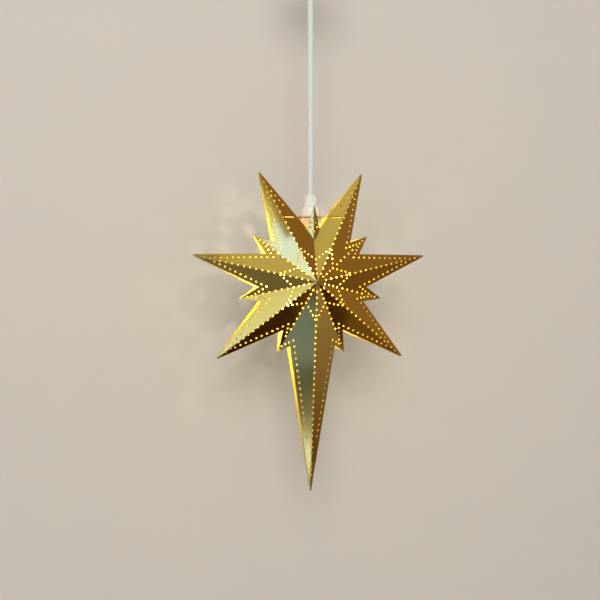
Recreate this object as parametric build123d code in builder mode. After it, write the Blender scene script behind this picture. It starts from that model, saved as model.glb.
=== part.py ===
"""Advent star lamp: a folded, pierced metal star on a white cord under a ceiling cup.

Millimetres, +Z up, the star's front faces -Y, origin on the ceiling under the cup.
"""
import os
from math import cos, hypot, radians, sin, tan

from build123d import *

os.makedirs("parts", exist_ok=True)

# Star sheet: seven large points, seven small ones between them
point_count = 7
tip_radius = 179.0  # where the edges of an even point would meet
bottom_tip_radius = 308.0  # the same for the long bottom point
half_depth = 51.5  # mid-plane to the apex
small_tip_radius = 107.0
lower_small_tip_radius = 112.5  # the two small points beside the bottom point
small_tip_lift = 4.0  # small tips stand this far from the mid-plane
notch_radius = 79.2
notch_angle = 7.8  # from the small point's middle, in degrees
lower_notch_radius = 81.5
lower_notch_angle = 6.8
bottom_notch_radius = 97.6
bottom_notch_angle = 6.1
top_notch_radius = 75.7
top_notch_angle = 5.8
sheet = 0.6
tip_cut = 6.0  # the point's end is cut off blunt
tip_play = 0.05  # half the gap between the two halves at the tips
tab_width = 2.0
tab_length = 6.0
tab_root = 2.0
tab_clearance = 0.1

# Top leaf: the small point that is slit and bent forward for the lampholder
leaf_root_height = 59.5  # above the star's centre
leaf_shoulder_height = 75.0
leaf_tip_height = 110.0
leaf_half_width = 9.0
leaf_bridge = 4.0  # metal left between the slits
leaf_fold = 3.0  # its edges stand this far behind its middle
leaf_lean = 2.5  # its tip leans this far forward
leaf_hole_start = 3.3  # lowest pair of its holes, above the shoulders
leaf_hole_pitch = 6.3
leaf_hole_spread = 4.9  # of the lowest pair, from the middle
leaf_hole_taper = 1.6
leaf_pair_count = 2

# Pierced holes
hole_radius = 1.25
drill_length = 12.0
tip_inset = 5.0  # of the lone hole at each tip, from both edges
edge_inset = 5.7
edge_pitch = 8.4
bottom_edge_inset = 6.2
bottom_edge_pitch = 8.87
small_edge_inset = 6.0
small_edge_pitch = 6.6
ridge_start = 13.8
ridge_pitch = 8.6
ridge_inner_count = 5
zigzag_ridge = 56.3  # where the inner star's rows reach the ridge
zigzag_count = 4
zigzag_end_gap = 0.5  # pitches left free where the row reaches the ridge
ridge_outer_start = 62.7
tip_single_count = 2  # lone holes on the ridge near each tip
ridge_outer_gap = 1.8  # pitches left free between the ridge row and the lone holes
pair_room = 2.5  # edge rows start where they are this far from the ridge
valley_start = 13.2
valley_pitch = 7.3
valley_inner_count = 4
valley_outer_pitch = 9.2
valley_outer_count = 5
bottom_single_count = 3  # lone holes on the ridge near the bottom tip
bottom_outer_gap = 2.0  # pitches left free above them
bottom_pair_room = 7.5
top_edge_count = 6  # edge rows beside the leaf stop before this hole

# Bracket: a flat plate whose four tabs sit in slots of the upper points
bracket_height = 94.0  # its top above the star's centre
bracket_thickness = 1.0
slot_inner = 27.5
slot_outer = 41.0
slot_height = 2.1
slot_play = 0.1  # above the plate
slot_side_play = 0.3
bracket_waist = 10.0
bracket_hub_radius = 17.0
tab_proud = 0.4

# Lampholder
cord_radius = 4.0
cord_play = 0.05
cap_height = 32.0
neck_radius = 8.8
neck_root_radius = 10.2
neck_height = 16.5
collar_radius = 12.8
shoulder_drop = 1.5
shoulder_rounding = 0.6
cord_reach = 2.0  # length of the cord below the neck
skirt_radius = 13.7
skirt_band = 4.0
cap_wall = 2.2
neck_lid = 4.0
neck_rounding = 1.2
grip_radius = 6.3
grip_height = 10.0
grip_slit = 1.0
sleeve_radius = 11.5
sleeve_wall = 1.5
sleeve_length = 36.0
sleeve_play = 0.05
thread_pitch = 2.0
thread_depth = 0.4
thread_count = 8
hole_play = 0.25
insert_play = 0.05
insert_web = 6.0
insert_depth = 25.0
shell_radius = 7.1  # inside of the screw shell
shell_wall = 0.4
shell_length = 16.0
shell_play = 0.05
contact_thickness = 0.5
contact_radius = 4.0
stud_radius = 1.2
stud_play = 0.05
terminal_offset = 5.0
terminal_screw_radius = 1.1
terminal_head_radius = 2.1
terminal_head_height = 2.0
terminal_screw_depth = 4.0
strip_thickness = 0.8
strip_width = 5.6
side_strip_reach = 6.0
core_radius = 0.9
core_offset = 1.4
core_bend = 2.0
core_lead = 2.5

# Shade ring and its washer, below the bracket
ring_play = 0.3
washer_thickness = 0.8
washer_radius = 15.5
ring_radius = 16.5
ring_height = 7.0
ring_gap = 0.1
rib_count = 24
rib_radius = 0.7

# Bulb: golf ball with a small screw cap
contact_gap = 0.3
button_radius = 2.4
button_height = 1.6
button_rounding = 0.8
insulator_height = 3.2
insulator_radius = 5.4
insulator_top_radius = 3.6
cap_thread_radius = 6.7
cap_thread_length = 15.0
cap_thread_pitch = 2.82
cap_thread_depth = 0.45
cap_collar_radius = 8.6
cap_collar_height = 7.0
cap_sheet = 0.35
glass_radius = 22.5
glass_neck_radius = 8.0
glass_wall = 0.8
glass_join_angle = 45.0  # where the neck's curve leaves the ball
glass_tuck = 3.0  # length of the neck inside the cap
bulb_length = 78.0
glass_play = 0.05
stem_flange_height = 1.5
stem_radius = 2.6
stem_length = 14.0
lead_radius = 0.3
lead_offset = 1.6
lead_spread = 8.0
lead_length = 11.0
filament_radius = 0.5
filament_sag = 3.0

# Ceiling fitting
free_cord = 292.0  # gland's mouth to the lampholder
plate_radius = 34.0
plate_thickness = 1.5
plate_hole_spacing = 50.0
plate_hole_radius = 2.5
ear_width = 12.0
ear_depth = 16.0
ear_screw_drop = 10.0
cup_radius = 40.0
cup_height = 42.0
cup_wall = 2.0
cup_round = 12.0
ear_play = 0.3
side_screw_radius = 1.95
side_screw_play = 0.25
side_head_radius = 3.5
side_head_height = 2.0
side_screw_length = 8.0
side_slot_width = 1.0
side_slot_depth = 1.0
gland_stem_radius = 5.6
gland_stem_height = 12.0
gland_play = 0.1
gland_flange_radius = 9.0
gland_flange_height = 3.0
gland_bell_height = 13.0
gland_bell_angle = 16.0
gland_lip = 1.5
throat_play = 0.3
nut_flats = 15.0
nut_sides = 6
nut_height = 4.0
tail_rise = 2.0
lock_screw_radius = 1.5
lock_screw_play = 0.05
lock_screw_proud = 1.0
block_width = 16.0
block_length = 18.0
block_height = 12.0
block_offset = 6.0
pole_spacing = 8.0
pole_hole_radius = 1.6
pole_hole_depth = 7.0
pole_screw_radius = 1.5
pole_screw_inset = 5.0
pole_screw_depth = 4.0
upper_core_bend = 3.5
upper_core_entry = 2.0

# Heights of the main pieces, from the ceiling down
floor_top = -cup_height + cup_wall
gland_top = -cup_height + gland_stem_height
lock_z = (floor_top + nut_height + gland_top) / 2
pivot_z = -cup_height - gland_flange_height
gland_bottom = pivot_z - gland_bell_height
neck_top = gland_bottom - free_cord
bracket_top = neck_top - cap_height
bracket_bottom = bracket_top - bracket_thickness
star_z = bracket_top - bracket_height
sleeve_top = bracket_top + skirt_band
sleeve_bottom = sleeve_top - sleeve_length
sleeve_bore = sleeve_radius - sleeve_wall
web_bottom = sleeve_top - insert_web
tongue_bottom = web_bottom - contact_thickness
button_top = tongue_bottom - contact_gap
cap_top = button_top - button_height - insulator_height
cap_bottom = cap_top - cap_thread_length - cap_collar_height
cord_end = neck_top - neck_height - cord_reach

star_plane = Plane(origin=(0, 0, star_z), x_dir=(1, 0, 0), z_dir=(0, -1, 0))
inward = Vector(0, 1, 0)
step_angle = 360 / point_count
top_small = point_count // 2


def flat_polar(radius, angle):
    """Point of the star's face, as x and height from its centre."""
    return Vector(radius * cos(radians(angle)), radius * sin(radians(angle)))


def large_angle(index):
    return -90 + index * step_angle


def small_angle(index):
    return large_angle(index) + step_angle / 2


apex = Vector(0, 0, half_depth)


def large_tip(index):
    radius = bottom_tip_radius if index % point_count == 0 else tip_radius
    return flat_polar(radius, large_angle(index)) + Vector(0, 0, sheet + tip_play)


def small_tip(index):
    beside_bottom = index % point_count in (0, point_count - 1)
    radius = lower_small_tip_radius if beside_bottom else small_tip_radius
    return flat_polar(radius, small_angle(index)) + Vector(0, 0, small_tip_lift)


def lift_on(flat_point, tip, small):
    """The point of the facet through the apex and two tips that covers a flat point."""
    normal = (tip - apex).cross(small - apex)
    rise = -(normal.X * flat_point.X + normal.Y * flat_point.Y) / normal.Z
    return Vector(flat_point.X, flat_point.Y, apex.Z + rise)


def notch(large, small, side):
    """Corner between a large and a small point; side is 1 anticlockwise of the small one."""
    beside_bottom = small % point_count in (0, point_count - 1)
    if large % point_count == 0:
        radius, angle = bottom_notch_radius, bottom_notch_angle
    elif beside_bottom:
        radius, angle = lower_notch_radius, lower_notch_angle
    elif small == top_small:
        radius, angle = top_notch_radius, top_notch_angle
    else:
        radius, angle = notch_radius, notch_angle
    flat_point = flat_polar(radius, small_angle(small) + side * angle)
    return lift_on(flat_point, large_tip(large), small_tip(small))


def toward(start, end, distance):
    return start + (end - start).normalized() * distance


def meet(point, direction, other, other_direction):
    """Where two lines of one plane cross."""
    across = direction.X * other_direction.Y - direction.Y * other_direction.X
    gap = other - point
    share = (gap.X * other_direction.Y - gap.Y * other_direction.X) / across
    return point + direction * share


def facet_plane(large, small):
    tip = large_tip(large) - apex
    return Plane(origin=apex, x_dir=tip, z_dir=tip.cross(small_tip(small) - apex))


def on_star(points):
    return [star_plane.from_local_coords(point) for point in points]


def leaf_points(side):
    """Root middle, root edge, shoulder and tip of half the leaf."""
    top_tip = small_tip(top_small)
    neighbour = large_tip(top_small + (1 if side > 0 else 0))
    middle = lift_on(Vector(0, leaf_root_height), neighbour, top_tip)
    edge = lift_on(Vector(-side * leaf_bridge / 2, leaf_root_height), neighbour, top_tip)
    shoulder = Vector(-side * leaf_half_width, leaf_shoulder_height, middle.Z - leaf_fold)
    tip = Vector(0, leaf_tip_height, middle.Z + leaf_lean)
    return middle, edge, shoulder, tip


def facet_outline(large, small, side):
    """Corners of one facet: apex, blunt tip, notch, then the small tip or the leaf's root."""
    tip = large_tip(large)
    corner = notch(large, small, side)
    ridge_end = toward(tip, apex, tip_cut)
    edge_end = toward(tip, corner, tip_cut)
    outline = [apex, ridge_end, edge_end, corner]
    if small == top_small:
        middle, edge = leaf_points(side)[:2]
        return outline + [edge, middle]
    return outline + [small_tip(small)]


facets = [(index, index, -1) for index in range(point_count)]
facets += [(index + 1, index, 1) for index in range(point_count)]


def facet_holes(large, small, side):
    """Holes of one facet, in the facet's own plane: outline rows and the inner star's row."""
    plane = facet_plane(large, small)
    tip = plane.to_local_coords(large_tip(large))
    low = plane.to_local_coords(small_tip(small))
    corner = plane.to_local_coords(notch(large, small, side))
    ridge = Vector(1, 0)
    valley = low.normalized()
    edge = (corner - tip).normalized()
    small_edge = (low - corner).normalized()
    inward_edge = Vector(-edge.Y, edge.X)
    inset_edge = tip + inward_edge * tip_inset
    inset_small = corner + Vector(small_edge.Y, -small_edge.X) * -small_edge_inset
    ridge_meet = meet(Vector(), ridge, inset_edge, edge)
    turn = meet(inset_edge, edge, inset_small, small_edge)
    valley_meet = meet(Vector(), valley, inset_small, small_edge)
    bottom = large % point_count == 0
    row_count = max(1, round((turn - ridge_meet).length / edge_pitch))
    spacing = bottom_edge_pitch if bottom else (turn - ridge_meet).length / row_count
    row_start = turn + inward_edge * ((bottom_edge_inset if bottom else edge_inset) - tip_inset)
    holes = []
    for step in range(1, row_count + 1):
        hole = row_start - edge * spacing * (row_count - step)
        crowded = hole.Y < (bottom_pair_room if bottom else pair_room)
        if not crowded and (small != top_small or step < top_edge_count):
            holes.append(hole)
    if small != top_small:
        small_count = max(1, round((valley_meet - turn).length / small_edge_pitch))
        for step in range(1, small_count):
            holes.append(turn + (valley_meet - turn) * (step / small_count))
    vertex = valley * (valley_start + (valley_inner_count - 1) * valley_pitch)
    star_tip = ridge * zigzag_ridge
    for step in range(1, zigzag_count + 1):
        holes.append(vertex + (star_tip - vertex) * (step / (zigzag_count + zigzag_end_gap)))
    return plane, holes, ridge_meet.X, valley_meet.length


def ridge_distances(large, tip_hole):
    """Places of the ridge holes, from the apex out to the lone holes at the tip."""
    inner = [ridge_start + step * ridge_pitch for step in range(ridge_inner_count)]
    bottom = large % point_count == 0
    singles = bottom_single_count if bottom else tip_single_count
    lone = [tip_hole - step * edge_pitch for step in range(singles)]
    last = lone[-1] - (bottom_outer_gap if bottom else ridge_outer_gap) * edge_pitch
    outer_count = max(1, round((last - ridge_outer_start) / ridge_pitch))
    spacing = (last - ridge_outer_start) / outer_count
    outer = [ridge_outer_start + step * spacing for step in range(outer_count + 1)]
    return inner + outer + lone


def valley_distances(small, tip_hole):
    inner = [valley_start + step * valley_pitch for step in range(valley_inner_count)]
    if small == top_small:
        return inner
    first = inner[-1] + valley_outer_pitch
    outer = [first + step * valley_outer_pitch for step in range(valley_outer_count)]
    return inner + outer + [tip_hole, tip_hole + small_edge_pitch]


def fold_plane(end, distance):
    """Plane across a ridge or valley at a distance from the apex."""
    fold = (end - apex).normalized()
    across = Vector(-end.Y, end.X, 0).normalized()
    return Plane(origin=apex + fold * distance, x_dir=across, z_dir=fold.cross(across))


def drill_planes():
    """Every hole of one pressed half, as planes in the star's own frame."""
    planes = []
    tip_holes = {}
    small_holes = {}
    for large, small, side in facets:
        plane, holes, tip_hole, small_hole = facet_holes(large, small, side)
        tip_holes[large % point_count] = tip_hole
        small_holes[small] = small_hole
        planes += [Plane(plane.from_local_coords(hole), plane.x_dir, plane.z_dir) for hole in holes]
    for index in range(point_count):
        for distance in ridge_distances(index, tip_holes[index]):
            planes.append(fold_plane(large_tip(index), distance))
        for distance in valley_distances(index, small_holes[index]):
            planes.append(fold_plane(small_tip(index), distance))
    return planes


def leaf_holes():
    """Two slanting rows and two middle holes on the bent leaf, as x and height."""
    lowest = leaf_shoulder_height + leaf_hole_start
    holes = [(0, lowest - leaf_hole_pitch), (0, lowest + leaf_pair_count * leaf_hole_pitch)]
    for step in range(leaf_pair_count):
        spread = leaf_hole_spread - step * leaf_hole_taper
        holes += [(side * spread, lowest + step * leaf_hole_pitch) for side in (-1, 1)]
    return holes


# Pressed half: the facets of one folded sheet, with its slots and holes
with BuildPart() as pressed_half:
    for large, small, side in facets:
        outline = on_star(facet_outline(large, small, side))
        normal = (outline[1] - outline[0]).cross(outline[-1] - outline[0])
        face_plane = Plane(origin=outline[0], x_dir=outline[1] - outline[0], z_dir=normal)
        with BuildSketch(face_plane):
            with BuildLine():
                local = [face_plane.to_local_coords(point) for point in outline]
                Polyline(*[(point.X, point.Y) for point in local], close=True)
            make_face()
        extrude(amount=sheet, dir=inward)
    for side in (-1, 1):
        middle, edge, shoulder, leaf_tip = leaf_points(side)
        for corners in ((middle, edge, shoulder), (middle, shoulder, leaf_tip)):
            first, second, third = on_star(corners)
            leaf_normal = (second - first).cross(third - first)
            leaf_plane = Plane(origin=first, x_dir=second - first, z_dir=leaf_normal)
            with BuildSketch(leaf_plane):
                with BuildLine():
                    local = [leaf_plane.to_local_coords(point) for point in (first, second, third)]
                    Polyline(*[(point.X, point.Y) for point in local], close=True)
                make_face()
            extrude(amount=sheet, dir=inward)
    with BuildSketch(Plane.XZ):
        slot_middle = bracket_top + slot_play - slot_height / 2
        with GridLocations(slot_inner + slot_outer, 0, 2, 1):
            with Locations((0, slot_middle)):
                Rectangle(slot_outer - slot_inner, slot_height)
    extrude(amount=half_depth, mode=Mode.SUBTRACT)
    with BuildSketch(Plane.XZ):
        with Locations(*[(x, star_z + z) for x, z in leaf_holes()]):
            Circle(hole_radius)
    extrude(amount=half_depth, mode=Mode.SUBTRACT)
    drills = []
    for plane in drill_planes():
        origin = star_plane.from_local_coords(plane.origin)
        tilt = star_plane.from_local_coords(plane.origin + plane.z_dir) - origin
        drills.append(Plane(origin=origin, z_dir=tilt))
    with Locations(*drills):
        Cylinder(hole_radius, drill_length, mode=Mode.SUBTRACT)

with BuildPart() as front_star_half:
    add(pressed_half.part)

# Back half: the same pressing turned to the rear, with tabs folded over the front tips
with BuildPart() as back_star_half:
    mirror(pressed_half.part, about=Plane.XZ)
    for index in range(point_count):
        tip = large_tip(index)
        slope = (half_depth - tip.Z) / hypot(tip.X, tip.Y)
        blunt = toward(tip, apex, tip_cut)
        end_radius = hypot(blunt.X, blunt.Y)
        end_lift = blunt.Z
        reach = end_radius + tab_clearance + sheet
        front = end_lift + tab_clearance
        root_lift = end_lift + tab_root * slope
        radial = star_plane.from_local_coords(Vector(tip.X, tip.Y)) - star_plane.origin
        tab_plane = Plane(star_plane.origin, x_dir=radial, z_dir=radial.cross(star_plane.z_dir))
        with BuildSketch(tab_plane):
            with BuildLine():
                Polyline(
                    (end_radius - tab_root, -root_lift),
                    (reach, -end_lift),
                    (reach, front + sheet),
                    (end_radius - tab_length, front + sheet + tab_length * slope),
                    (end_radius - tab_length, front + tab_length * slope),
                    (reach - sheet, front),
                    (reach - sheet, sheet - end_lift),
                    (end_radius - tab_root, sheet - root_lift),
                    close=True,
                )
            make_face()
        extrude(amount=tab_width / 2, both=True)


def sheet_front(x):
    """Distance of the upper facets' outer face from the mid-plane, at the bracket's top."""
    flat_point = Vector(-x, bracket_height)
    return lift_on(flat_point, large_tip(top_small + 1), small_tip(top_small)).Z


# Lampholder bracket: flat plate between the two upper points
with BuildPart() as lampholder_bracket:
    with BuildSketch(Plane.XY.offset(bracket_bottom)):
        tab_inner = slot_inner + slot_side_play
        tab_outer = slot_outer - slot_side_play
        Rectangle(2 * tab_outer, 2 * bracket_waist)
        Circle(bracket_hub_radius)
        for side in (-1, 1):
            with BuildLine():
                Polyline(
                    (side * tab_inner, sheet_front(tab_inner) + tab_proud),
                    (side * tab_outer, sheet_front(tab_outer) + tab_proud),
                    (side * tab_outer, -sheet_front(tab_outer) - tab_proud),
                    (side * tab_inner, -sheet_front(tab_inner) - tab_proud),
                    close=True,
                )
            make_face()
        Circle(sleeve_radius + hole_play, mode=Mode.SUBTRACT)
    extrude(amount=bracket_thickness)

# Lampholder cap: tapered neck on a wide collar that flares to a skirt on the bracket
chamber_top = neck_top - neck_height
with BuildPart() as lampholder_cap:
    with BuildSketch(Plane.XZ):
        with BuildLine():
            Polyline(
                (cord_radius + cord_play, neck_top),
                (neck_radius, neck_top),
                (neck_root_radius, chamber_top),
                (collar_radius, chamber_top - shoulder_drop),
                (skirt_radius, bracket_top),
                (sleeve_radius + sleeve_play, bracket_top),
                (sleeve_radius + sleeve_play, sleeve_top),
                (collar_radius - cap_wall, sleeve_top),
                (collar_radius - cap_wall, chamber_top - shoulder_drop - cap_wall),
                (neck_root_radius - cap_wall, chamber_top - cap_wall),
                (grip_radius, chamber_top - cap_wall),
                (grip_radius, neck_top - neck_lid),
                (cord_radius + cord_play, neck_top - neck_lid),
                close=True,
            )
        make_face()
    revolve(axis=Axis.Z)
    top_edges = lampholder_cap.edges().filter_by(GeomType.CIRCLE).group_by(Axis.Z)[-1]
    fillet(top_edges.sort_by(SortBy.RADIUS)[-1], neck_rounding)
    collar_edge = lampholder_cap.edges().filter_by(GeomType.CIRCLE).group_by(SortBy.RADIUS)[-2]
    fillet(collar_edge, shoulder_rounding)

# Cord grip: slit bush that clamps the cord inside the neck
with BuildPart() as cord_grip_bush:
    with BuildSketch(Plane.XY.offset(neck_top - neck_lid - grip_height)):
        Circle(grip_radius - insert_play)
        Circle(cord_radius + cord_play, mode=Mode.SUBTRACT)
        with Locations((0, -grip_radius)):
            Rectangle(grip_slit, 2 * (grip_radius - cord_radius), mode=Mode.SUBTRACT)
    extrude(amount=grip_height)

# Threaded sleeve: carries the socket and the shade ring
with BuildPart() as lampholder_sleeve:
    with BuildSketch(Plane.XZ):
        with BuildLine():
            outline = [(sleeve_bore, sleeve_bottom), (sleeve_radius, sleeve_bottom)]
            thread_end = bracket_bottom - washer_thickness - thread_count * thread_pitch
            for turn in range(thread_count):
                groove = thread_end + turn * thread_pitch
                outline += [
                    (sleeve_radius, groove),
                    (sleeve_radius - thread_depth, groove + thread_pitch / 2),
                ]
            outline += [(sleeve_radius, thread_end + thread_count * thread_pitch)]
            outline += [(sleeve_radius, sleeve_top), (sleeve_bore, sleeve_top)]
            Polyline(*outline, close=True)
        make_face()
    revolve(axis=Axis.Z)

# Socket insert: insulating cup with a web that carries the contacts
insert_radius = sleeve_bore - insert_play
shell_outer = shell_radius + shell_wall
side_strip_x = shell_outer + strip_thickness / 2
with BuildPart() as socket_insert:
    with BuildSketch(Plane.XY.offset(sleeve_top - insert_depth)):
        Circle(insert_radius)
    extrude(amount=insert_depth)
    with BuildSketch(Plane.XY.offset(sleeve_top - insert_depth)):
        Circle(shell_outer + shell_play)
    extrude(amount=insert_depth - insert_web, mode=Mode.SUBTRACT)
    with BuildSketch(Plane.XY.offset(web_bottom)):
        Circle(stud_radius + stud_play)
    extrude(amount=insert_web, mode=Mode.SUBTRACT)
    with BuildSketch(Plane.XY.offset(sleeve_top - terminal_screw_depth)):
        with Locations((-terminal_offset, 0), (terminal_offset, 0)):
            Circle(terminal_screw_radius + stud_play)
    extrude(amount=terminal_screw_depth, mode=Mode.SUBTRACT)
    with BuildSketch(Plane.XY.offset(web_bottom - side_strip_reach - stud_play)):
        with Locations((-side_strip_x, 0)):
            Rectangle(strip_thickness + 2 * stud_play, strip_width + 2 * stud_play)
    extrude(amount=insert_web + side_strip_reach + stud_play, mode=Mode.SUBTRACT)

# Screw shell of the socket
with BuildPart() as socket_screw_shell:
    with BuildSketch(Plane.XY.offset(web_bottom - shell_length)):
        Circle(shell_outer)
        Circle(shell_radius, mode=Mode.SUBTRACT)
    extrude(amount=shell_length)

# Centre contact: round spring tongue, stud through the web and terminal strip above it
with BuildPart() as socket_centre_contact:
    with BuildSketch(Plane.XY.offset(tongue_bottom)):
        Circle(contact_radius)
    extrude(amount=contact_thickness)
    with BuildSketch(Plane.XY.offset(web_bottom)):
        Circle(stud_radius)
    extrude(amount=insert_web)
    with BuildSketch(Plane.XY.offset(sleeve_top)):
        strip_end = terminal_offset + strip_width / 2
        with Locations(((strip_end - stud_radius) / 2, 0)):
            Rectangle(strip_end + stud_radius, strip_width)
        with Locations((terminal_offset, 0)):
            Circle(terminal_screw_radius + stud_play, mode=Mode.SUBTRACT)
    extrude(amount=strip_thickness)

# Side contact: strip from the screw shell up through the web, bent over to its terminal
with BuildPart() as socket_side_contact:
    with BuildSketch(Plane.XY.offset(web_bottom - side_strip_reach)):
        with Locations((-side_strip_x, 0)):
            Rectangle(strip_thickness, strip_width)
    extrude(amount=insert_web + side_strip_reach + strip_thickness)
    with BuildSketch(Plane.XY.offset(sleeve_top)):
        inner_end = terminal_offset - strip_width / 2
        with Locations((-(inner_end + side_strip_x) / 2, 0)):
            Rectangle(side_strip_x - inner_end, strip_width)
        with Locations((-terminal_offset, 0)):
            Circle(terminal_screw_radius + stud_play, mode=Mode.SUBTRACT)
    extrude(amount=strip_thickness)

# Terminal screws: one on each contact strip
strip_top = sleeve_top + strip_thickness
with BuildPart() as terminal_screws:
    with BuildSketch(Plane.XY.offset(sleeve_top - terminal_screw_depth)):
        with Locations((-terminal_offset, 0), (terminal_offset, 0)):
            Circle(terminal_screw_radius)
    extrude(amount=terminal_screw_depth + strip_thickness)
    with BuildSketch(Plane.XY.offset(strip_top)):
        with Locations((-terminal_offset, 0), (terminal_offset, 0)):
            Circle(terminal_head_radius)
    extrude(amount=terminal_head_height)


def lower_core(side):
    """Insulated core from the cord's end to the top of its terminal screw."""
    start = Vector(side * core_offset, 0, cord_end)
    end = Vector(side * terminal_offset, 0, strip_top + terminal_head_height)
    bends = [start - Vector(0, 0, core_lead), end + Vector(0, 0, core_lead)]
    with BuildPart() as core:
        with BuildLine() as path:
            FilletPolyline(start, *bends, end, radius=core_bend)
        with BuildSketch(Plane(origin=start, z_dir=(0, 0, -1))):
            Circle(core_radius)
        sweep(path=path.line)
    return core.part


lamp_live_core = lower_core(1)
lamp_neutral_core = lower_core(-1)

# Ring washer, then the ribbed shade ring that clamps the bracket
washer_top = bracket_bottom - ring_gap
with BuildPart() as ring_washer:
    with BuildSketch(Plane.XY.offset(washer_top - washer_thickness)):
        Circle(washer_radius)
        Circle(sleeve_radius + ring_play, mode=Mode.SUBTRACT)
    extrude(amount=washer_thickness)

ring_top = washer_top - washer_thickness - ring_gap
with BuildPart() as shade_ring:
    with BuildSketch(Plane.XY.offset(ring_top - ring_height)):
        Circle(ring_radius)
        Circle(sleeve_radius + ring_play, mode=Mode.SUBTRACT)
        with PolarLocations(ring_radius, rib_count):
            Circle(rib_radius, mode=Mode.SUBTRACT)
    extrude(amount=ring_height)

# Bulb contact, then the black insulator of its cap
with BuildPart() as bulb_contact_button:
    with BuildSketch(Plane.XY.offset(button_top - button_height)):
        Circle(button_radius)
    extrude(amount=button_height)
    fillet(bulb_contact_button.edges().group_by(Axis.Z)[-1], button_rounding)

with BuildPart() as bulb_cap_insulator:
    with BuildSketch(Plane.XZ):
        with BuildLine():
            Polyline(
                (0, cap_top),
                (insulator_radius, cap_top),
                (insulator_top_radius, cap_top + insulator_height),
                (0, cap_top + insulator_height),
                close=True,
            )
        make_face()
    revolve(axis=Axis.Z)

# Screw cap of the bulb: thin shell, grooved like its thread, with a wide collar
thread_bottom = cap_top - cap_thread_length
with BuildPart() as bulb_screw_cap:
    with BuildSketch(Plane.XZ):
        with BuildLine():
            turns = int(cap_thread_length / cap_thread_pitch)
            outer = [(0, cap_top), (insulator_radius, cap_top)]
            for turn in range(turns):
                crest = cap_top - turn * cap_thread_pitch - cap_thread_pitch / 2
                outer += [
                    (cap_thread_radius, crest),
                    (cap_thread_radius - cap_thread_depth, crest - cap_thread_pitch / 2),
                ]
            outer += [
                (cap_thread_radius, thread_bottom),
                (cap_collar_radius, cap_bottom + cap_collar_height / 2),
                (cap_collar_radius, cap_bottom),
            ]
            tuck_radius = glass_neck_radius + glass_play
            inner = [
                (tuck_radius, cap_bottom),
                (tuck_radius, cap_bottom + glass_tuck),
                (cap_thread_radius - cap_thread_depth - cap_sheet, thread_bottom),
                (cap_thread_radius - cap_thread_depth - cap_sheet, cap_top - cap_thread_pitch),
                (0, cap_top - cap_thread_pitch),
            ]
            Polyline(*outer, *inner, close=True)
        make_face()
    revolve(axis=Axis.Z)

# Bulb glass: golf ball blown with a neck that is cemented in the cap
bulb_bottom = button_top - bulb_length
ball_centre = bulb_bottom + glass_radius
neck_inner = glass_neck_radius - glass_wall
with BuildPart() as bulb_glass:
    with BuildSketch(Plane.XZ):
        with BuildLine():
            lip = cap_bottom + glass_tuck
            join = flat_polar(glass_radius, glass_join_angle)
            slope = flat_polar(1, glass_join_angle - 90)
            inside = (glass_radius - glass_wall) / glass_radius
            Line((neck_inner, lip), (glass_neck_radius, lip))
            Line((glass_neck_radius, lip), (glass_neck_radius, cap_bottom))
            Spline(
                (glass_neck_radius, cap_bottom),
                (join.X, ball_centre + join.Y),
                tangents=[(0, -1), (slope.X, slope.Y)],
            )
            CenterArc((0, ball_centre), glass_radius, glass_join_angle, -90 - glass_join_angle)
            Line((0, bulb_bottom), (0, bulb_bottom + glass_wall))
            CenterArc((0, ball_centre), glass_radius - glass_wall, -90, 90 + glass_join_angle)
            Spline(
                (join.X * inside, ball_centre + join.Y * inside),
                (neck_inner, cap_bottom),
                tangents=[(-slope.X, -slope.Y), (0, 1)],
            )
            Line((neck_inner, cap_bottom), (neck_inner, lip))
        make_face()
    revolve(axis=Axis.Z)

# Stem: glass foot that closes the neck and carries the lead wires
stem_top = cap_bottom + glass_tuck
stem_bottom = stem_top - stem_flange_height - stem_length
with BuildPart() as bulb_stem:
    with BuildSketch(Plane.XY.offset(stem_top - stem_flange_height)):
        Circle(neck_inner - glass_play)
    extrude(amount=stem_flange_height)
    with BuildSketch(Plane.XY.offset(stem_bottom)):
        Circle(stem_radius)
    extrude(amount=stem_length)

# Lead wires: two wires from the stem out to the filament's ends
with BuildPart() as lead_wires:
    for side in (-1, 1):
        foot = Vector(side * lead_offset, 0, stem_bottom)
        head = Vector(side * lead_spread, 0, stem_bottom - lead_length)
        with BuildSketch(Plane(origin=foot, z_dir=(0, 0, -1))):
            Circle(lead_radius)
        with BuildSketch(Plane(origin=head, z_dir=(0, 0, -1))):
            Circle(lead_radius)
        loft()

with BuildPart() as filament:
    filament_z = stem_bottom - lead_length - filament_radius
    with BuildLine() as coil_path:
        ThreePointArc(
            (-lead_spread, 0, filament_z), (0, 0, filament_z - filament_sag), (lead_spread, 0, filament_z)
        )
    with BuildSketch(Plane(origin=coil_path.line @ 0, z_dir=coil_path.line % 0)):
        Circle(filament_radius)
    sweep(path=coil_path.line)

# Pendant cord: straight, with a round top end where it bends at the gland
with BuildPart() as pendant_cord:
    with BuildSketch(Plane.XZ):
        with BuildLine():
            Line((0, pivot_z + cord_radius), (0, cord_end))
            Line((0, cord_end), (cord_radius, cord_end))
            Line((cord_radius, cord_end), (cord_radius, pivot_z))
            CenterArc((0, pivot_z), cord_radius, 0, 90)
        make_face()
    revolve(axis=Axis.Z)
print("cord radius", cord_radius, "straight run", pivot_z - cord_end, "no bends")

# Cord tail: the end of the cord that the gland holds
tail_bottom = pivot_z + cord_radius + throat_play
tail_top = gland_top + tail_rise
with BuildPart() as cord_tail:
    with BuildSketch(Plane.XY.offset(tail_bottom)):
        Circle(cord_radius)
    extrude(amount=tail_top - tail_bottom)

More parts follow.
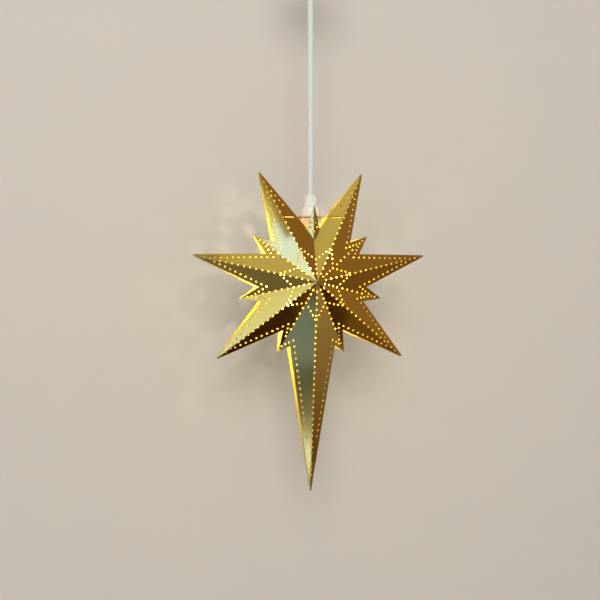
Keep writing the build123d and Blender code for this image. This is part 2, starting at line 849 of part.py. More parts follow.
# Gland: threaded stem through the cup, flange below it and a bell mouth for the cord
gland_bore = cord_radius + cord_play
throat = cord_radius + throat_play
mouth = throat + gland_bell_height * tan(radians(gland_bell_angle))
bell_radius = mouth + gland_lip
with BuildPart() as cord_gland:
    with BuildSketch(Plane.XZ):
        with BuildLine():
            Polyline(
                (gland_bore, gland_top),
                (gland_stem_radius, gland_top),
                (gland_stem_radius, -cup_height),
                (gland_flange_radius, -cup_height),
                (gland_flange_radius, pivot_z),
                (bell_radius, gland_bottom),
                (mouth, gland_bottom),
                (throat, pivot_z),
                (throat, tail_bottom),
                (gland_bore, tail_bottom),
                close=True,
            )
        make_face()
    revolve(axis=Axis.Z)
    with BuildSketch(Plane.XZ):
        with Locations((0, lock_z)):
            Circle(lock_screw_radius + lock_screw_play)
    extrude(amount=gland_flange_radius, mode=Mode.SUBTRACT)

# Lock screw: presses on the cord through the gland's stem
with BuildPart() as cord_lock_screw:
    with BuildSketch(Plane.XZ.offset(gland_bore)):
        with Locations((0, lock_z)):
            Circle(lock_screw_radius)
    extrude(amount=gland_stem_radius - gland_bore + lock_screw_proud)

# Gland nut: hexagon nut on the stem, on the cup's floor
with BuildPart() as gland_nut:
    with BuildSketch(Plane.XY.offset(floor_top)):
        RegularPolygon(nut_flats / 2, nut_sides, major_radius=False)
        Circle(gland_stem_radius + gland_play, mode=Mode.SUBTRACT)
    extrude(amount=nut_height)

# Ceiling cup: spun cover with a rounded lower edge
cup_inner = cup_radius - cup_wall
inner_round = cup_round - cup_wall
with BuildPart() as ceiling_cup:
    with BuildSketch(Plane.XZ):
        with BuildLine():
            Line((gland_stem_radius + gland_play, floor_top), (gland_stem_radius + gland_play, -cup_height))
            Line((gland_stem_radius + gland_play, -cup_height), (cup_radius - cup_round, -cup_height))
            CenterArc((cup_radius - cup_round, -cup_height + cup_round), cup_round, -90, 90)
            Line((cup_radius, -cup_height + cup_round), (cup_radius, 0))
            Line((cup_radius, 0), (cup_inner, 0))
            Line((cup_inner, 0), (cup_inner, -cup_height + cup_round))
            CenterArc((cup_radius - cup_round, -cup_height + cup_round), inner_round, 0, -90)
            Line((cup_radius - cup_round, floor_top), (gland_stem_radius + gland_play, floor_top))
        make_face()
    revolve(axis=Axis.Z)
    with BuildSketch(Plane.XZ):
        with Locations((0, -ear_screw_drop)):
            Circle(side_screw_radius + side_screw_play)
    extrude(amount=2 * cup_radius, both=True, mode=Mode.SUBTRACT)

# Ceiling plate: disc with two screw holes and two ears turned down inside the cup
ear_face = (cup_inner**2 - (ear_width / 2) ** 2) ** 0.5 - ear_play
with BuildPart() as ceiling_plate:
    with BuildSketch(Plane.XY.offset(-plate_thickness)):
        Circle(plate_radius)
        Rectangle(ear_width, 2 * ear_face)
        with GridLocations(plate_hole_spacing, 0, 2, 1):
            Circle(plate_hole_radius, mode=Mode.SUBTRACT)
    extrude(amount=plate_thickness)
    with BuildSketch(Plane.XY.offset(-ear_depth)):
        with GridLocations(0, 2 * ear_face - plate_thickness, 1, 2):
            Rectangle(ear_width, plate_thickness)
    extrude(amount=ear_depth)
    with BuildSketch(Plane.XZ):
        with Locations((0, -ear_screw_drop)):
            Circle(side_screw_radius + stud_play)
    extrude(amount=2 * cup_radius, both=True, mode=Mode.SUBTRACT)

# Side screws: hold the cup on the plate's ears
with BuildPart() as cup_side_screws:
    for side in (-1, 1):
        with BuildSketch(Plane.XZ.offset(side * (cup_radius - side_screw_length))):
            with Locations((0, -ear_screw_drop)):
                Circle(side_screw_radius)
        extrude(amount=side * side_screw_length)
        with BuildSketch(Plane.XZ.offset(side * cup_radius)):
            with Locations((0, -ear_screw_drop)):
                Circle(side_head_radius)
        extrude(amount=side * side_head_height)
        with BuildSketch(Plane.XZ.offset(side * (cup_radius + side_head_height))):
            with Locations((0, -ear_screw_drop)):
                Rectangle(2 * side_head_radius, side_slot_width)
        extrude(amount=-side * side_slot_depth, mode=Mode.SUBTRACT)

# Terminal block under the plate, and its screws
block_bottom = -plate_thickness - block_height
pole_z = -plate_thickness - block_height / 2
with BuildPart() as terminal_block:
    with BuildSketch(Plane.XY.offset(block_bottom)):
        with Locations((0, block_offset + block_length / 2)):
            Rectangle(block_width, block_length)
    extrude(amount=block_height)
    for plane in (
        Plane.XZ.offset(-block_offset - pole_hole_depth),
        Plane.XZ.offset(-block_offset - block_length),
    ):
        with BuildSketch(plane):
            with GridLocations(pole_spacing, 0, 2, 1):
                with Locations((0, pole_z)):
                    Circle(pole_hole_radius)
        extrude(amount=pole_hole_depth, mode=Mode.SUBTRACT)
    with BuildSketch(Plane.XY.offset(block_bottom)):
        with Locations((0, block_offset + block_length / 2)):
            with GridLocations(pole_spacing, block_length - 2 * pole_screw_inset, 2, 2):
                Circle(pole_screw_radius + stud_play)
    extrude(amount=pole_screw_depth, mode=Mode.SUBTRACT)

with BuildPart() as terminal_block_screws:
    with BuildSketch(Plane.XY.offset(block_bottom)):
        with Locations((0, block_offset + block_length / 2)):
            with GridLocations(pole_spacing, block_length - 2 * pole_screw_inset, 2, 2):
                Circle(pole_screw_radius)
    extrude(amount=pole_screw_depth)


def upper_core(side):
    """Insulated core from the cord's tail up and over into the terminal block."""
    start = Vector(side * core_offset, 0, tail_top)
    spread = Vector(side * pole_spacing / 2, 0, (tail_top + pole_z) / 2)
    top = Vector(side * pole_spacing / 2, 0, pole_z)
    end = Vector(side * pole_spacing / 2, block_offset + upper_core_entry, pole_z)
    with BuildPart() as core:
        with BuildLine() as path:
            FilletPolyline(start, start + Vector(0, 0, core_lead), spread, top, end, radius=upper_core_bend)
        with BuildSketch(Plane(origin=start, z_dir=(0, 0, 1))):
            Circle(core_radius)
        sweep(path=path.line)
    return core.part


ceiling_live_core = upper_core(1)
ceiling_neutral_core = upper_core(-1)

pieces = {
    "front_star_half": front_star_half.part,
    "back_star_half": back_star_half.part,
    "lampholder_bracket": lampholder_bracket.part,
    "lampholder_cap": lampholder_cap.part,
    "cord_grip_bush": cord_grip_bush.part,
    "lampholder_sleeve": lampholder_sleeve.part,
    "socket_insert": socket_insert.part,
    "socket_screw_shell": socket_screw_shell.part,
    "socket_centre_contact": socket_centre_contact.part,
    "socket_side_contact": socket_side_contact.part,
    "terminal_screws": terminal_screws.part,
    "lamp_live_core": lamp_live_core,
    "lamp_neutral_core": lamp_neutral_core,
    "ring_washer": ring_washer.part,
    "shade_ring": shade_ring.part,
    "bulb_contact_button": bulb_contact_button.part,
    "bulb_cap_insulator": bulb_cap_insulator.part,
    "bulb_screw_cap": bulb_screw_cap.part,
    "bulb_glass": bulb_glass.part,
    "bulb_stem": bulb_stem.part,
    "lead_wires": lead_wires.part,
    "filament": filament.part,
    "pendant_cord": pendant_cord.part,
    "cord_tail": cord_tail.part,
    "cord_gland": cord_gland.part,
    "cord_lock_screw": cord_lock_screw.part,
    "gland_nut": gland_nut.part,
    "ceiling_cup": ceiling_cup.part,
    "ceiling_plate": ceiling_plate.part,
    "cup_side_screws": cup_side_screws.part,
    "terminal_block": terminal_block.part,
    "terminal_block_screws": terminal_block_screws.part,
    "ceiling_live_core": ceiling_live_core,
    "ceiling_neutral_core": ceiling_neutral_core,
}
for name, piece in pieces.items():
    piece.label = name
    export_step(piece, f"parts/{name}.step")
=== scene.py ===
"""Advent star lamp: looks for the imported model, in metres, with the star's front towards -Y."""
from math import cos, pi, radians, sin, tan

import bpy
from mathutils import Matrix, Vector


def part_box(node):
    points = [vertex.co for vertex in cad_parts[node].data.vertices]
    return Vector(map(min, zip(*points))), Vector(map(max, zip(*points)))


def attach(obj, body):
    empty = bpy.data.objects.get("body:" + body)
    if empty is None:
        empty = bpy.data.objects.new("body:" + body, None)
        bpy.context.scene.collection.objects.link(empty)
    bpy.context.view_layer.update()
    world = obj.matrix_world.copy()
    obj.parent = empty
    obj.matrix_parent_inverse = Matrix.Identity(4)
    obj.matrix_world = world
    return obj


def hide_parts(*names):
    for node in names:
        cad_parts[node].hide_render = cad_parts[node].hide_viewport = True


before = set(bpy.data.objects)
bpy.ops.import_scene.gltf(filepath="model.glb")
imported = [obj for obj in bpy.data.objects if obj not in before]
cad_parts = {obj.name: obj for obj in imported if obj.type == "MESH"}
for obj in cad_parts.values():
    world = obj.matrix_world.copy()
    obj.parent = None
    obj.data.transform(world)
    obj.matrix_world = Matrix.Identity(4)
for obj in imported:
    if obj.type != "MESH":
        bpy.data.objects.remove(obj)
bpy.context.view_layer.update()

bpy.ops.object.select_all(action="DESELECT")


# Ceiling plate and screws
# The plate is a zinc-plated steel pressing that two screws hold to the ceiling.
# Its ears take the cup's side screws, and its terminal block takes the house wires.
def new_group(name, inputs, outputs):
    """Empty shader group with named sockets, and its two end nodes."""
    group = bpy.data.node_groups.new(name, "ShaderNodeTree")
    for label, kind in inputs:
        group.interface.new_socket(label, in_out="INPUT", socket_type=kind)
    for label, kind in outputs:
        group.interface.new_socket(label, in_out="OUTPUT", socket_type=kind)
    return group, group.nodes.new("NodeGroupInput"), group.nodes.new("NodeGroupOutput")


number = "NodeSocketFloat"
colour = "NodeSocketColor"
grain_fineness = 9  # grains to one patch of the mottling
mottle, mottle_in, mottle_out = new_group(
    "Mottled tone",
    [("Scale", number), ("Light", colour), ("Dark", colour), ("Smooth", number), ("Rough", number)],
    [("Tone", colour), ("Roughness", number), ("Grain", number)],
)
mottle_place = mottle.nodes.new("ShaderNodeTexCoord")
mottle_patches = mottle.nodes.new("ShaderNodeTexNoise")
mottle_patches.inputs["Detail"].default_value = 6
mottle_grain = mottle.nodes.new("ShaderNodeTexNoise")
mottle_grain.inputs["Detail"].default_value = 3
mottle_finer = mottle.nodes.new("ShaderNodeMath")
mottle_finer.operation = "MULTIPLY"
mottle_finer.inputs[1].default_value = grain_fineness
mottle_spread = mottle.nodes.new("ShaderNodeMapRange")
mottle_spread.inputs["From Min"].default_value = 0.3
mottle_spread.inputs["From Max"].default_value = 0.7
mottle_tone = mottle.nodes.new("ShaderNodeMix")
mottle_tone.data_type = "RGBA"
mottle_gloss = mottle.nodes.new("ShaderNodeMapRange")
for start, end in (
    (mottle_place.outputs["Object"], mottle_patches.inputs["Vector"]),
    (mottle_place.outputs["Object"], mottle_grain.inputs["Vector"]),
    (mottle_in.outputs["Scale"], mottle_patches.inputs["Scale"]),
    (mottle_in.outputs["Scale"], mottle_finer.inputs[0]),
    (mottle_finer.outputs[0], mottle_grain.inputs["Scale"]),
    (mottle_patches.outputs["Fac"], mottle_spread.inputs["Value"]),
    (mottle_spread.outputs["Result"], mottle_tone.inputs["Factor"]),
    (mottle_in.outputs["Dark"], mottle_tone.inputs["A"]),
    (mottle_in.outputs["Light"], mottle_tone.inputs["B"]),
    (mottle_patches.outputs["Fac"], mottle_gloss.inputs["Value"]),
    (mottle_in.outputs["Smooth"], mottle_gloss.inputs["To Min"]),
    (mottle_in.outputs["Rough"], mottle_gloss.inputs["To Max"]),
    (mottle_tone.outputs["Result"], mottle_out.inputs["Tone"]),
    (mottle_gloss.outputs["Result"], mottle_out.inputs["Roughness"]),
    (mottle_grain.outputs["Fac"], mottle_out.inputs["Grain"]),
):
    mottle.links.new(start, end)


def mottled(name, light, dark, smooth, rough, scale, relief, metallic=0.0):
    """Finish with a mottled tone, uneven gloss and a fine grain; relief is the grain's height."""
    material = bpy.data.materials.new(name)
    material.use_nodes = True
    nodes, links = material.node_tree.nodes, material.node_tree.links
    shader = nodes["Principled BSDF"]
    shader.inputs["Metallic"].default_value = metallic
    tone = nodes.new("ShaderNodeGroup")
    tone.node_tree = mottle
    tone.inputs["Scale"].default_value = scale
    tone.inputs["Light"].default_value = (*light, 1)
    tone.inputs["Dark"].default_value = (*dark, 1)
    tone.inputs["Smooth"].default_value = smooth
    tone.inputs["Rough"].default_value = rough
    bump = nodes.new("ShaderNodeBump")
    bump.inputs["Distance"].default_value = relief
    links.new(tone.outputs["Tone"], shader.inputs["Base Color"])
    links.new(tone.outputs["Roughness"], shader.inputs["Roughness"])
    links.new(tone.outputs["Grain"], bump.inputs["Height"])
    links.new(bump.outputs["Normal"], shader.inputs["Normal"])
    return material


def dress(material, *names):
    """Gives CAD nodes their finish."""
    for name in names:
        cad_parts[name].data.materials.clear()
        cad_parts[name].data.materials.append(material)


zinc = mottled(
    "zinc_plating", light=(0.66, 0.68, 0.70), dark=(0.44, 0.46, 0.49),
    smooth=0.24, rough=0.46, scale=140, relief=3e-5, metallic=1.0,
)
dress(zinc, "ceiling_plate", "cup_side_screws", "cord_lock_screw")
dress(zinc, "terminal_block_screws", "terminal_screws")
nylon = mottled(
    "natural_nylon", light=(0.80, 0.79, 0.74), dark=(0.70, 0.69, 0.63),
    smooth=0.35, rough=0.5, scale=90, relief=2e-5,
)
dress(nylon, "terminal_block", "cord_grip_bush")
live = mottled(
    "brown_core", light=(0.30, 0.13, 0.06), dark=(0.20, 0.08, 0.035),
    smooth=0.35, rough=0.5, scale=260, relief=2e-5,
)
dress(live, "ceiling_live_core", "lamp_live_core")
neutral = mottled(
    "blue_core", light=(0.10, 0.30, 0.66), dark=(0.06, 0.20, 0.50),
    smooth=0.35, rough=0.5, scale=260, relief=2e-5,
)
dress(neutral, "ceiling_neutral_core", "lamp_neutral_core")

# Ceiling cup and gland
# A moulded white cup covers the wires, and its gland and nut hold the cord.
# The gland's bell mouth lets the cord swing without a sharp bend.
fitting_white = mottled(
    "moulded_white", light=(0.86, 0.86, 0.85), dark=(0.80, 0.80, 0.785),
    smooth=0.28, rough=0.42, scale=60, relief=1.5e-5,
)
dress(fitting_white, "ceiling_cup", "cord_gland", "gland_nut")

# Pendant cord
# Round mains cord with a smooth white plastic jacket, pulled straight by the star's weight.
# It comes out of the gland's bell mouth and goes into the lampholder's neck.
cord_radius = 0.004
cord_white = mottled(
    "cord_jacket", light=(0.80, 0.815, 0.835), dark=(0.74, 0.755, 0.775),
    smooth=0.38, rough=0.52, scale=220, relief=1e-5,
)
dress(cord_white, "cord_tail")
cord_bottom, cord_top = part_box("pendant_cord")
neck_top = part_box("lampholder_cap")[1].z
cord_end = cord_top.z - cord_radius  # the swing's pivot, in the gland
cord_lead = 12 * cord_radius  # straight length beside the neck and the gland
cord_heights = (
    cord_bottom.z,
    neck_top + cord_lead,
    (neck_top + cord_end) / 2,
    cord_end - cord_lead,
    cord_end,
)
cord_curve = bpy.data.curves.new("white_cord", "CURVE")
cord_curve.dimensions = "3D"
cord_curve.bevel_depth = cord_radius
cord_curve.bevel_resolution = 8
cord_curve.use_fill_caps = True
cord_line = cord_curve.splines.new("NURBS")
cord_line.points.add(len(cord_heights) - 1)
for point, height in zip(cord_line.points, cord_heights):
    point.co = (0, 0, height, 1)
cord_line.order_u = 3
cord_line.use_endpoint_u = True
cord_line.resolution_u = 12
white_cord = bpy.data.objects.new("white_cord", cord_curve)
bpy.context.collection.objects.link(white_cord)
cord_curve.materials.append(cord_white)
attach(white_cord, "hanging_cord")
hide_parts("pendant_cord")

# Lampholder
# A white moulded neck and skirt stand on the bracket, and a threaded sleeve hangs below it.
# Inside are the ceramic insert, the brass shell and contacts, and the two cores.
# A fibre washer and a threaded ring on the sleeve clamp the bracket from below.
holder_white = mottled(
    "holder_plastic", light=(0.85, 0.85, 0.845), dark=(0.78, 0.785, 0.78),
    smooth=0.25, rough=0.4, scale=110, relief=1.5e-5,
)
dress(holder_white, "lampholder_cap")
# The sleeve and shade ring are the same white plastic as the cap; their grey is painted shade that
# holds down the star's inner glow on them.
sleeve_painted_shade = mottled(
    "sleeve_plastic_painted_shade", light=(0.50, 0.48, 0.475), dark=(0.43, 0.41, 0.405),
    smooth=0.3, rough=0.46, scale=110, relief=1.5e-5,
)
dress(sleeve_painted_shade, "lampholder_sleeve", "shade_ring")
ceramic = mottled(
    "fired_ceramic", light=(0.87, 0.86, 0.81), dark=(0.74, 0.72, 0.66),
    smooth=0.45, rough=0.7, scale=300, relief=4e-5,
)
dress(ceramic, "socket_insert")
contact = mottled(
    "contact_brass", light=(0.78, 0.58, 0.26), dark=(0.60, 0.42, 0.17),
    smooth=0.2, rough=0.4, scale=180, relief=2e-5, metallic=1.0,
)
dress(contact, "socket_screw_shell", "socket_centre_contact", "socket_side_contact")
fibre = mottled(
    "pressed_fibre", light=(0.42, 0.17, 0.09), dark=(0.27, 0.10, 0.055),
    smooth=0.6, rough=0.8, scale=420, relief=5e-5,
)
dress(fibre, "ring_washer")

# Bracket
# Flat plate of the same gold-coloured metal as the star, but unpolished.
# Its four tabs sit in slots in the two upper points, and the lampholder is clamped through it.
plate_gold = mottled(
    "bracket_gold", light=(0.70, 0.50, 0.19), dark=(0.55, 0.37, 0.12),
    smooth=0.3, rough=0.5, scale=80, relief=2e-5, metallic=1.0,
)
dress(plate_gold, "lampholder_bracket")

# Bulb
# Golf-ball bulb of thin blown glass, cemented in a rolled metal screw cap.
# A glass stem carries two lead wires, with the glowing filament between them.
# Two lamps stand for the filament's light, so the glass and what is in it cast no shadow.
button_tin = mottled(
    "tinned_button", light=(0.72, 0.72, 0.71), dark=(0.5, 0.5, 0.5),
    smooth=0.25, rough=0.45, scale=400, relief=2e-5, metallic=1.0,
)
dress(button_tin, "bulb_contact_button")
black_glass = mottled(
    "black_glass", light=(0.02, 0.02, 0.025), dark=(0.012, 0.012, 0.016),
    smooth=0.1, rough=0.25, scale=200, relief=1e-5,
)
dress(black_glass, "bulb_cap_insulator")
rolled_cap = mottled(
    "rolled_cap", light=(0.80, 0.80, 0.80), dark=(0.62, 0.62, 0.62),
    smooth=0.2, rough=0.36, scale=160, relief=2e-5, metallic=1.0,
)
dress(rolled_cap, "bulb_screw_cap")
lead_wire = mottled(
    "lead_wire", light=(0.62, 0.6, 0.58), dark=(0.45, 0.44, 0.43),
    smooth=0.3, rough=0.45, scale=500, relief=1e-5, metallic=1.0,
)
dress(lead_wire, "lead_wires")

blown_glass = mottled(
    "blown_glass", light=(0.98, 0.97, 0.94), dark=(0.95, 0.94, 0.90),
    smooth=0.12, rough=0.25, scale=60, relief=1e-5,
)
glass_shader = blown_glass.node_tree.nodes["Principled BSDF"]
glass_shader.inputs["Transmission Weight"].default_value = 1.0
glass_shader.inputs["IOR"].default_value = 1.45
dress(blown_glass, "bulb_glass", "bulb_stem")

glow = mottled(
    "glowing_wire", light=(1.0, 0.80, 0.50), dark=(1.0, 0.72, 0.40),
    smooth=0.4, rough=0.5, scale=500, relief=1e-5,
)
glow_shader = glow.node_tree.nodes["Principled BSDF"]
glow_shader.inputs["Emission Color"].default_value = (1.0, 0.74, 0.38, 1)
glow_shader.inputs["Emission Strength"].default_value = 30
dress(glow, "filament")

light_height = 0.005  # above the glass ball's lowest point
light_radius = 0.003
beam_angle = radians(70)
bulb_glow = bpy.data.lights.new("bulb_glow", "POINT")
bulb_glow.energy = 1.0
bulb_beam = bpy.data.lights.new("bulb_beam", "SPOT")  # straight down, through the glass ball
bulb_beam.energy = 2.2
bulb_beam.spot_size = beam_angle
bulb_beam.spot_blend = 1.0
for light in (bulb_glow, bulb_beam):
    light.color = (1.0, 0.88, 0.64)
    light.shadow_soft_size = light_radius
    lamp = bpy.data.objects.new(light.name, light)
    lamp.location = (0, 0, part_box("bulb_glass")[0].z + light_height)
    bpy.context.collection.objects.link(lamp)
    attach(lamp, "bulb")
for name in ("bulb_glass", "bulb_stem", "lead_wires", "filament"):
    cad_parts[name].visible_shadow = False

# Star
# Two pressings of thin polished gold sheet, folded to seven large and seven small points.
# They are pierced with rows of round holes, and the back one's tabs are folded over the front tips.
# A mask finds the satin inside: what faces the star's middle plane from its own half's side.
facing_limit = 0.5  # least share of the inside's normal along Y
inner_face, inner_face_in, inner_face_out = new_group(
    "Inner face", [("Side", number)], [("Mask", number)]
)
inner_place = inner_face.nodes.new("ShaderNodeTexCoord")
inner_products = []
for reading in ("Normal", "Object"):
    split = inner_face.nodes.new("ShaderNodeSeparateXYZ")
    product = inner_face.nodes.new("ShaderNodeMath")
    product.operation = "MULTIPLY"
    inner_face.links.new(inner_place.outputs[reading], split.inputs["Vector"])
    inner_face.links.new(split.outputs["Y"], product.inputs[0])
    inner_face.links.new(inner_face_in.outputs["Side"], product.inputs[1])
    inner_products.append(product)
inner_facing = inner_face.nodes.new("ShaderNodeMath")
inner_facing.operation = "GREATER_THAN"
inner_facing.inputs[1].default_value = facing_limit
inner_behind = inner_face.nodes.new("ShaderNodeMath")
inner_behind.operation = "LESS_THAN"
inner_behind.inputs[1].default_value = 0.0
inner_both = inner_face.nodes.new("ShaderNodeMath")
inner_both.operation = "MULTIPLY"
for start, end in (
    (inner_products[0].outputs[0], inner_facing.inputs[0]),
    (inner_products[1].outputs[0], inner_behind.inputs[0]),
    (inner_facing.outputs[0], inner_both.inputs[0]),
    (inner_behind.outputs[0], inner_both.inputs[1]),
    (inner_both.outputs[0], inner_face_out.inputs["Mask"]),
):
    inner_face.links.new(start, end)


def gold_sheet(name, inner_side):
    """Polished outside and satin inside; inner_side is the sign of Y that the inside faces."""
    material = bpy.data.materials.new(name)
    material.use_nodes = True
    nodes, links = material.node_tree.nodes, material.node_tree.links
    shader = nodes["Principled BSDF"]
    shader.inputs["Metallic"].default_value = 1.0
    place = nodes.new("ShaderNodeTexCoord")
    inner = nodes.new("ShaderNodeGroup")
    inner.node_tree = inner_face
    inner.inputs["Side"].default_value = inner_side

    polish = nodes.new("ShaderNodeGroup")
    polish.node_tree = mottle
    polish.inputs["Scale"].default_value = 14
    polish.inputs["Light"].default_value = (0.88, 0.64, 0.19, 1)
    polish.inputs["Dark"].default_value = (0.82, 0.58, 0.15, 1)
    polish.inputs["Smooth"].default_value = 0.07
    polish.inputs["Rough"].default_value = 0.13
    lacquer = nodes.new("ShaderNodeGroup")
    lacquer.node_tree = mottle
    lacquer.inputs["Scale"].default_value = 40
    lacquer.inputs["Light"].default_value = (0.97, 0.79, 0.17, 1)
    lacquer.inputs["Dark"].default_value = (0.94, 0.74, 0.14, 1)
    lacquer.inputs["Smooth"].default_value = 0.3
    lacquer.inputs["Rough"].default_value = 0.45

    tone = nodes.new("ShaderNodeMix")
    tone.data_type = "RGBA"
    links.new(inner.outputs["Mask"], tone.inputs["Factor"])
    links.new(polish.outputs["Tone"], tone.inputs["A"])
    links.new(lacquer.outputs["Tone"], tone.inputs["B"])
    links.new(tone.outputs["Result"], shader.inputs["Base Color"])
    gloss = nodes.new("ShaderNodeMix")
    links.new(inner.outputs["Mask"], gloss.inputs["Factor"])
    links.new(polish.outputs["Roughness"], gloss.inputs["A"])
    links.new(lacquer.outputs["Roughness"], gloss.inputs["B"])
    links.new(gloss.outputs["Result"], shader.inputs["Roughness"])
    metal = nodes.new("ShaderNodeMapRange")
    metal.inputs["To Min"].default_value = 1.0
    metal.inputs["To Max"].default_value = 0.6
    links.new(inner.outputs["Mask"], metal.inputs["Value"])
    links.new(metal.outputs["Result"], shader.inputs["Metallic"])

    edge = nodes.new("ShaderNodeBevel")
    edge.samples = 8
    edge.inputs["Radius"].default_value = 0.0016
    wave = nodes.new("ShaderNodeTexNoise")
    wave.inputs["Scale"].default_value = 9
    wave.inputs["Detail"].default_value = 1
    links.new(place.outputs["Object"], wave.inputs["Vector"])
    dent = nodes.new("ShaderNodeBump")
    dent.inputs["Distance"].default_value = 0.0012
    links.new(wave.outputs["Fac"], dent.inputs["Height"])
    links.new(edge.outputs["Normal"], dent.inputs["Normal"])
    links.new(dent.outputs["Normal"], shader.inputs["Normal"])
    return material


dress(gold_sheet("front_gold", inner_side=1), "front_star_half")
dress(gold_sheet("back_gold", inner_side=-1), "back_star_half")

# Studio
# Pale wall close behind the star, pale floor below it, even light all round and one soft key.
# The wall is clear from behind, so that the star's back shows in other views.
# Cards that only reflections see give the polished facets something to mirror.
bracket_rise = 0.094  # bracket's top above the star's middle
star_middle = Vector((0, 0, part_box("lampholder_bracket")[1].z - bracket_rise))
wall_gap = 0.16
floor_height = -2.4
room_size = 6.0
floor_size = 80.0


def flat_stage(name, centre, size, turn, tilt=0.0):
    """Flat stage sheet, tilted in its own plane and then turned, with its place in its mesh."""
    bpy.ops.mesh.primitive_plane_add(size=1)
    sheet = bpy.context.object
    sheet.name = name
    sheet.scale = (size[0], size[1], 1)
    sheet.rotation_euler.z = tilt
    bpy.ops.object.transform_apply(location=False, rotation=True, scale=True)
    sheet.rotation_euler = turn
    sheet.location = centre
    bpy.ops.object.transform_apply(location=True, rotation=True, scale=False)
    return sheet


def matt_paint(name, tone):
    """Plain matt paint for the wall and the floor."""
    material = bpy.data.materials.new(name)
    material.use_nodes = True
    shader = material.node_tree.nodes["Principled BSDF"]
    shader.inputs["Base Color"].default_value = (*tone, 1)
    shader.inputs["Roughness"].default_value = 0.9
    return material


wall_paint = matt_paint("wall_paint", (0.70, 0.66, 0.60))
wall_nodes, wall_links = wall_paint.node_tree.nodes, wall_paint.node_tree.links
wall_back = wall_nodes.new("ShaderNodeNewGeometry")
wall_clear = wall_nodes.new("ShaderNodeBsdfTransparent")
wall_sides = wall_nodes.new("ShaderNodeMixShader")
wall_links.new(wall_back.outputs["Backfacing"], wall_sides.inputs["Fac"])
wall_links.new(wall_nodes["Principled BSDF"].outputs["BSDF"], wall_sides.inputs[1])
wall_links.new(wall_clear.outputs["BSDF"], wall_sides.inputs[2])
wall_links.new(wall_sides.outputs["Shader"], wall_nodes["Material Output"].inputs["Surface"])
wall = flat_stage(
    "wall", (0, wall_gap, floor_height + room_size / 2), (room_size, room_size), (pi / 2, 0, 0)
)
wall.data.materials.append(wall_paint)
wall.visible_glossy = False
floor = flat_stage("floor", (0, 0, floor_height), (floor_size, floor_size), (0, 0, 0))
floor.data.materials.append(matt_paint("floor_paint", (0.84, 0.82, 0.78)))


def from_star(azimuth, elevation, distance):
    """Point seen from the star's middle; azimuth 0 is straight in front, positive to the right."""
    turn, rise = radians(azimuth), radians(elevation)
    way = Vector((sin(turn) * cos(rise), -cos(turn) * cos(rise), sin(rise)))
    return star_middle + way * distance


def reflection_card(name, azimuth, elevation, distance, spread, top_tone, bottom_tone, tilt):
    """Card facing the star that only reflections see; spread is its size in degrees from there."""
    card = flat_stage(
        name,
        centre=from_star(azimuth, elevation, distance),
        size=[2 * distance * tan(radians(angle / 2)) for angle in spread],
        turn=(radians(90 - elevation), 0, radians(azimuth)),
        tilt=radians(tilt),
    )
    material = bpy.data.materials.new(name)
    material.use_nodes = True
    nodes, links = material.node_tree.nodes, material.node_tree.links
    place = nodes.new("ShaderNodeTexCoord")
    height = nodes.new("ShaderNodeSeparateXYZ")
    fade = nodes.new("ShaderNodeMix")
    fade.data_type = "RGBA"
    fade.inputs["A"].default_value = (*bottom_tone, 1)
    fade.inputs["B"].default_value = (*top_tone, 1)
    light = nodes.new("ShaderNodeEmission")
    links.new(place.outputs["UV"], height.inputs["Vector"])
    links.new(height.outputs["Y"], fade.inputs["Factor"])
    links.new(fade.outputs["Result"], light.inputs["Color"])
    links.new(light.outputs["Emission"], nodes["Material Output"].inputs["Surface"])
    card.data.materials.append(material)
    card.visible_camera = False
    card.visible_diffuse = False
    card.visible_shadow = False
    card.visible_transmission = False


def card_pair(name, azimuth, elevation, distance, spread, top_tone, bottom_tone, tilt=0):
    """Card in front of the star, and its mirrored twin behind."""
    shared = (elevation, distance, spread, top_tone, bottom_tone)
    reflection_card(f"front_{name}_card", azimuth, *shared, tilt)
    reflection_card(f"back_{name}_card", 180 - azimuth, *shared, -tilt)


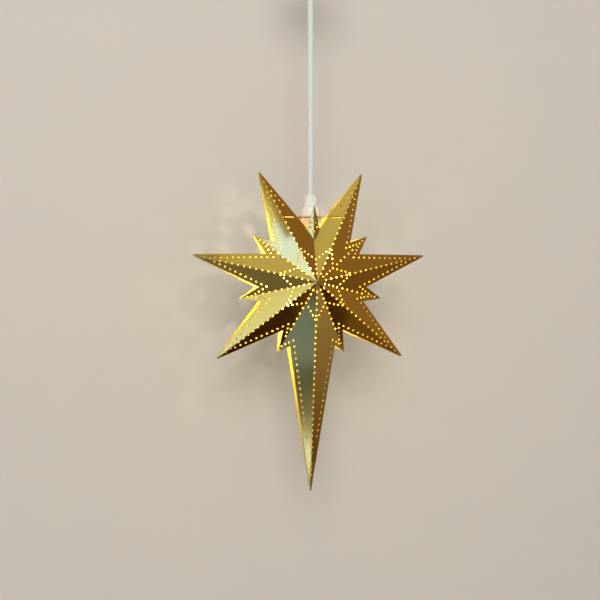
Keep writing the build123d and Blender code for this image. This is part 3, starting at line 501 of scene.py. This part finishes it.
card_distance = 2.0
window = (0.9, 1.34, 2.7)
warm_wood = (0.27, 0.165, 0.08)
for name, azimuth, elevation, nearness, spread, top_tone, bottom_tone in (
    ("window", -40.5, 2, 1, (19, 15), window, window),
    ("curtain", -46, 14.1, 1, (14, 5.6), (0.78, 0.82, 0.62), (0.82, 0.99, 1.1)),
    ("curtain_hem", -46, 10.4, 1, (14, 1.8), (0.82, 1.08, 1.5), (0.82, 1.2, 2.2)),
    ("high_pane", -49, 18.8, 0.155, (18, 9.2), (0.84, 1.3, 3.1), (0.84, 1.32, 3.2)),
    ("shelf_edge", -55, -15.8, 1, (14, 3.2), (0.07, 0.06, 0.04), (0.07, 0.06, 0.04)),
    ("shelf", -55, -19.7, 1, (14, 4.6), (0.17, 0.3, 0.62), (0.19, 0.31, 0.62)),
    ("shelf_shade", -55, -24.8, 1, (14, 5.6), (0.08, 0.11, 0.12), (0.13, 0.15, 0.17)),
    ("sill", -55, -30, 1, (14, 4.8), (0.2, 0.25, 0.25), (1.3, 1.7, 2.9)),
    ("low_shade", -55, -34.8, 1, (14, 4.8), (0.06, 0.05, 0.03), (0.1, 0.09, 0.07)),
    ("grey_floor", -37, -36, 1, (22, 14), (0.18, 0.19, 0.2), (0.13, 0.12, 0.1)),
    ("lit_ceiling", -12, 50, 1, (12, 16), (0.57, 0.56, 0.4), (0.57, 0.56, 0.4)),
    ("far_ceiling", -24, 50, 1, (12, 16), (0.53, 0.48, 0.27), (0.54, 0.48, 0.3)),
    ("warm_room", 62, 8, 1, (80, 96), warm_wood, (0.14, 0.085, 0.035)),
    ("dim_room", -4, 0, 1, (52, 80), (0.09, 0.07, 0.04), (0.05, 0.035, 0.02)),
    ("warm_side", 68, 7, 0.95, (24, 22), warm_wood, warm_wood),
    ("warm_shelf", 78, -20, 0.9, (18, 18), (0.34, 0.27, 0.22), (0.11, 0.065, 0.02)),
    ("dark_floor", 2, -56, 1, (44, 30), (0.035, 0.014, 0.008), (0.04, 0.02, 0.01)),
    ("warm_floor", 38, -53, 1, (36, 24), (0.17, 0.1, 0.03), (0.13, 0.08, 0.02)),
):
    card_pair(name, azimuth, elevation, card_distance * nearness, spread, top_tone, bottom_tone)

near_distance = 0.3  # so near that only the upper left point's left facet mirrors them
for name, azimuth, elevation, spread, tilt, tone in (
    ("slope", -49.1, 32.3, (25, 9), -62, (0.34, 0.29, 0.09)),
    ("low_slope", -55, 17.2, (10.5, 3), -37, (0.45, 0.39, 0.15)),
):
    card_pair(name, azimuth, elevation, near_distance, spread, tone, tone, tilt)

world = bpy.data.worlds.new("studio")
world.use_nodes = True
world.node_tree.nodes["Background"].inputs["Color"].default_value = (0.60, 0.59, 0.55, 1)
bpy.context.scene.world = world

key_light = bpy.data.lights.new("key_lamp", "AREA")
key_light.size = 1.0
key_light.energy = 18
key_light.color = (1.0, 0.98, 0.96)
key_lamp = bpy.data.objects.new("key_lamp", key_light)
key_lamp.location = from_star(azimuth=-10, elevation=22, distance=2.2)
key_lamp.rotation_euler = (star_middle - key_lamp.location).to_track_quat("-Z", "Y").to_euler()
key_lamp.visible_glossy = False
bpy.context.collection.objects.link(key_lamp)

# Camera
# It stands a little left of the star's axis, level with its middle, as the photograph was taken.
# Its lens and its aim follow from the star's size and place in the picture.
picture_width = 600
middle_pixel = Vector((310.4, 282.1))  # where the star's middle is in the picture
pixel_size = 0.00145  # at the star's middle
camera_turn = -11.44  # degrees
camera_distance = 1.457
camera_data = bpy.data.cameras.new("camera")
camera_data.sensor_width = 36
camera_data.lens = camera_data.sensor_width * camera_distance / (picture_width * pixel_size)
camera = bpy.data.objects.new("camera", camera_data)
camera.location = from_star(camera_turn, 0, camera_distance)
camera_right = Vector((cos(radians(camera_turn)), sin(radians(camera_turn)), 0))
picture_middle = picture_width / 2
aim = star_middle - camera_right * (middle_pixel.x - picture_middle) * pixel_size
aim.z += (middle_pixel.y - picture_middle) * pixel_size
camera.rotation_euler = (aim - camera.location).to_track_quat("-Z", "Y").to_euler()
bpy.context.collection.objects.link(camera)
bpy.context.scene.camera = camera
bpy.context.scene.view_settings.view_transform = "Standard"
